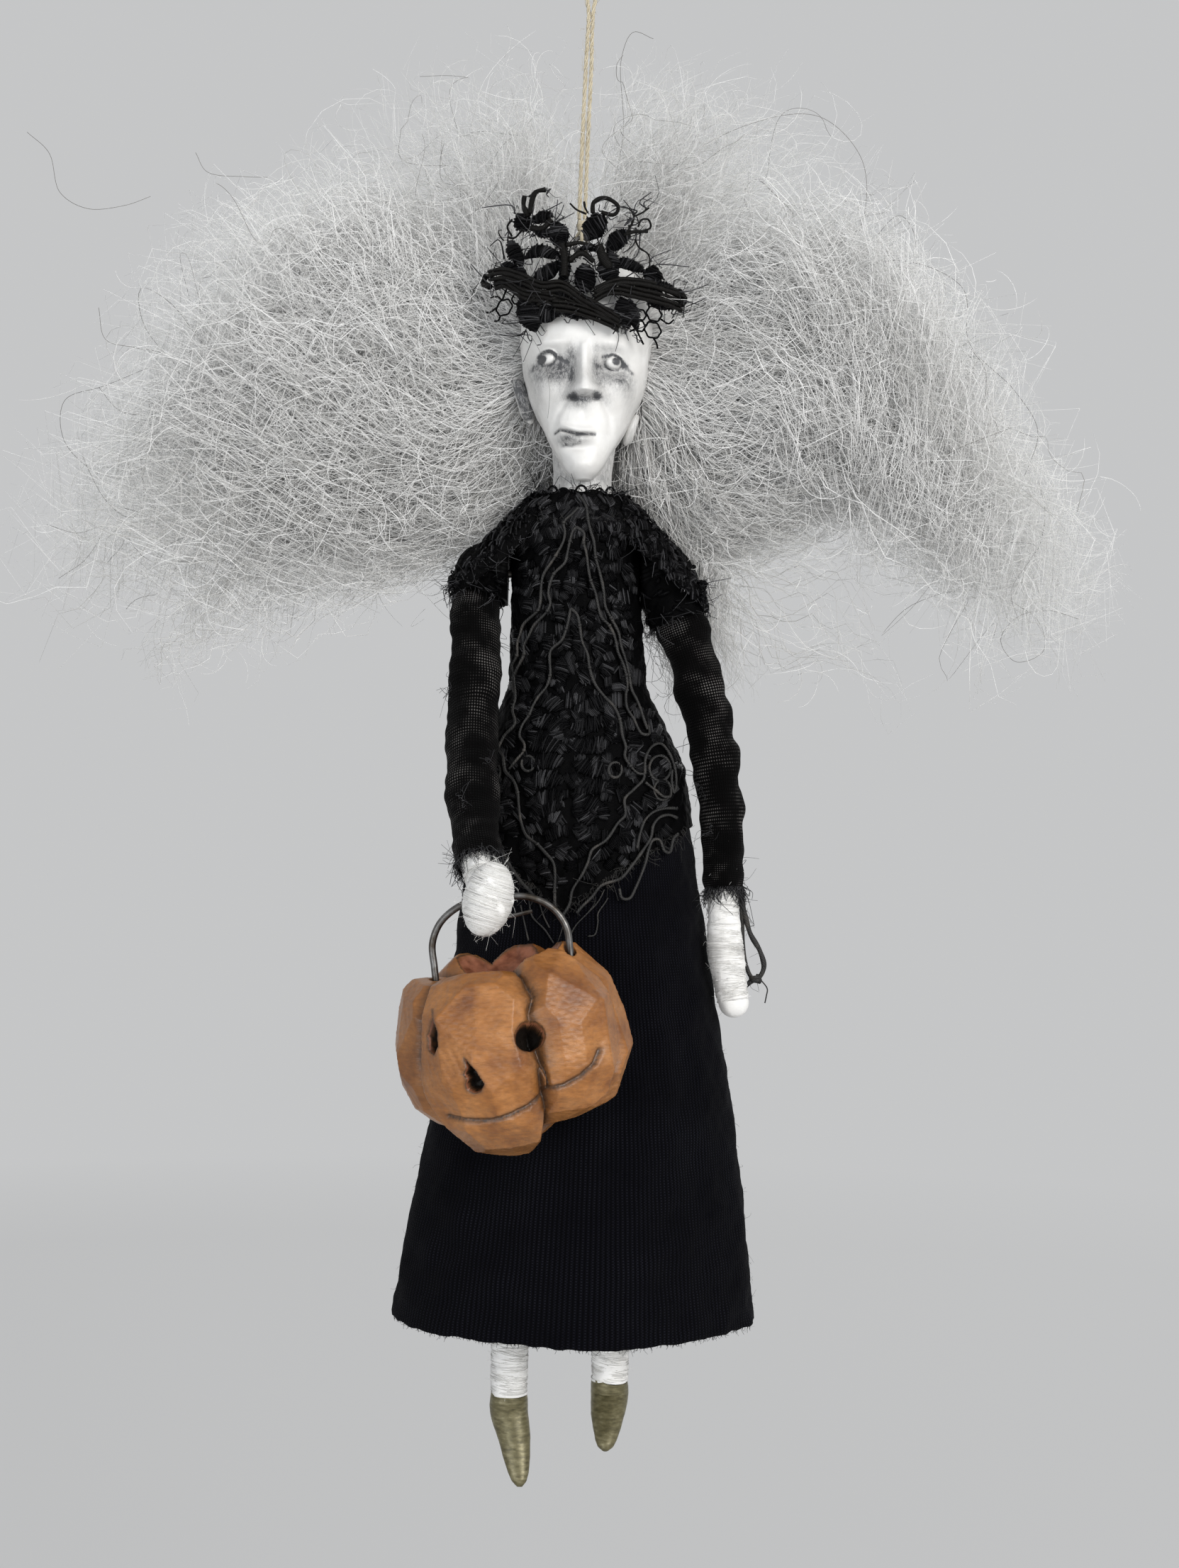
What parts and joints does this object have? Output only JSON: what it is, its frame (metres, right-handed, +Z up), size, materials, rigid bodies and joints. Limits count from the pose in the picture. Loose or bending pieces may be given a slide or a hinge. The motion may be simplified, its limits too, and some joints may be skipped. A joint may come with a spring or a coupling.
{
  "type": "hanging witch doll ornament",
  "caption": "Hanging witch doll with a carved wooden head, mohair hair, lace crown, posable wire arms, hanging legs and a carved pumpkin pail.",
  "frame": {"origin": "inside top of the twine loop that the ornament hangs from", "axes": "+Z up, the face looks along -Y, +X towards the doll's own left hand"},
  "size_m": [0.1445, 0.0611, 0.2162],
  "materials": {
    "painted_wood": "carved wood under matt white paint with grey pencil shading",
    "pumpkin_wood": "knife-faceted, stained orange-brown, waxed",
    "peg_wood": "plain dowel",
    "black_cloth": "plain-woven cotton",
    "black_lace": "satin-stitched guipure lace",
    "black_knit": "fine wool knit",
    "white_cotton": "wound cotton strip, painted white",
    "mohair": "combed-out white and grey mohair",
    "twine": "waxed linen twine",
    "steel_wire": "dark annealed wire",
    "shoe_paint": "satin olive-gold paint over carved wood"
  },
  "bodies": {
    "figure": {"hanging_twine": "twine", "twine_knot": "twine", "head_eye": "steel_wire", "head": "painted_wood", "neck_peg": "peg_wood", "lace_crown": "black_lace", "hair_back": "mohair", "hair_right": "mohair", "hair_left": "mohair", "body_core": "white_cotton", "shoulder_wire": "steel_wire", "hip_wire": "steel_wire", "bodice": "black_cloth", "skirt": "black_knit", "lace_collar": "black_lace", "lace_panel": "black_lace"},
    "right_arm": {"right_arm": "white_cotton", "right_arm_wire": "steel_wire", "right_sleeve": "black_cloth", "right_shoulder_lace": "black_lace", "grip_pin": "steel_wire"},
    "left_arm": {"left_arm": "white_cotton", "left_arm_wire": "steel_wire", "left_sleeve": "black_cloth", "left_shoulder_lace": "black_lace", "cuff_lace_tail": "black_lace"},
    "right_leg": {"right_leg": "white_cotton", "right_leg_wire": "steel_wire", "right_shoe": "shoe_paint"},
    "left_leg": {"left_leg": "white_cotton", "left_leg_wire": "steel_wire", "left_shoe": "shoe_paint"},
    "pumpkin_pail": {"pumpkin": "pumpkin_wood", "pumpkin_handle": "steel_wire"}
  },
  "joints": [
    {"name": "right_shoulder", "type": "hinge", "parent": "figure", "child": "right_arm", "pos_m": [-0.0129, 0, -0.0882], "axis": [-1, 0, 0], "range_deg": [0, 60]},
    {"name": "pumpkin_swing", "type": "hinge", "parent": "right_arm", "child": "pumpkin_pail", "pos_m": [-0.01038, -0.02802, -0.1326], "axis": [-0.9898, 0, -0.1426], "range_deg": [-1, 45]},
    {"name": "left_shoulder", "type": "hinge", "parent": "figure", "child": "left_arm", "pos_m": [0.0119, 0, -0.0882], "axis": [-1, 0, 0], "range_deg": [0, 100]},
    {"name": "right_hip", "type": "hinge", "parent": "figure", "child": "right_leg", "pos_m": [-0.0073, 0, -0.12], "axis": [-1, 0, 0], "range_deg": [-10, 10]},
    {"name": "left_hip", "type": "hinge", "parent": "figure", "child": "left_leg", "pos_m": [0.0073, 0, -0.12], "axis": [-1, 0, 0], "range_deg": [-10, 10]}
  ]
}
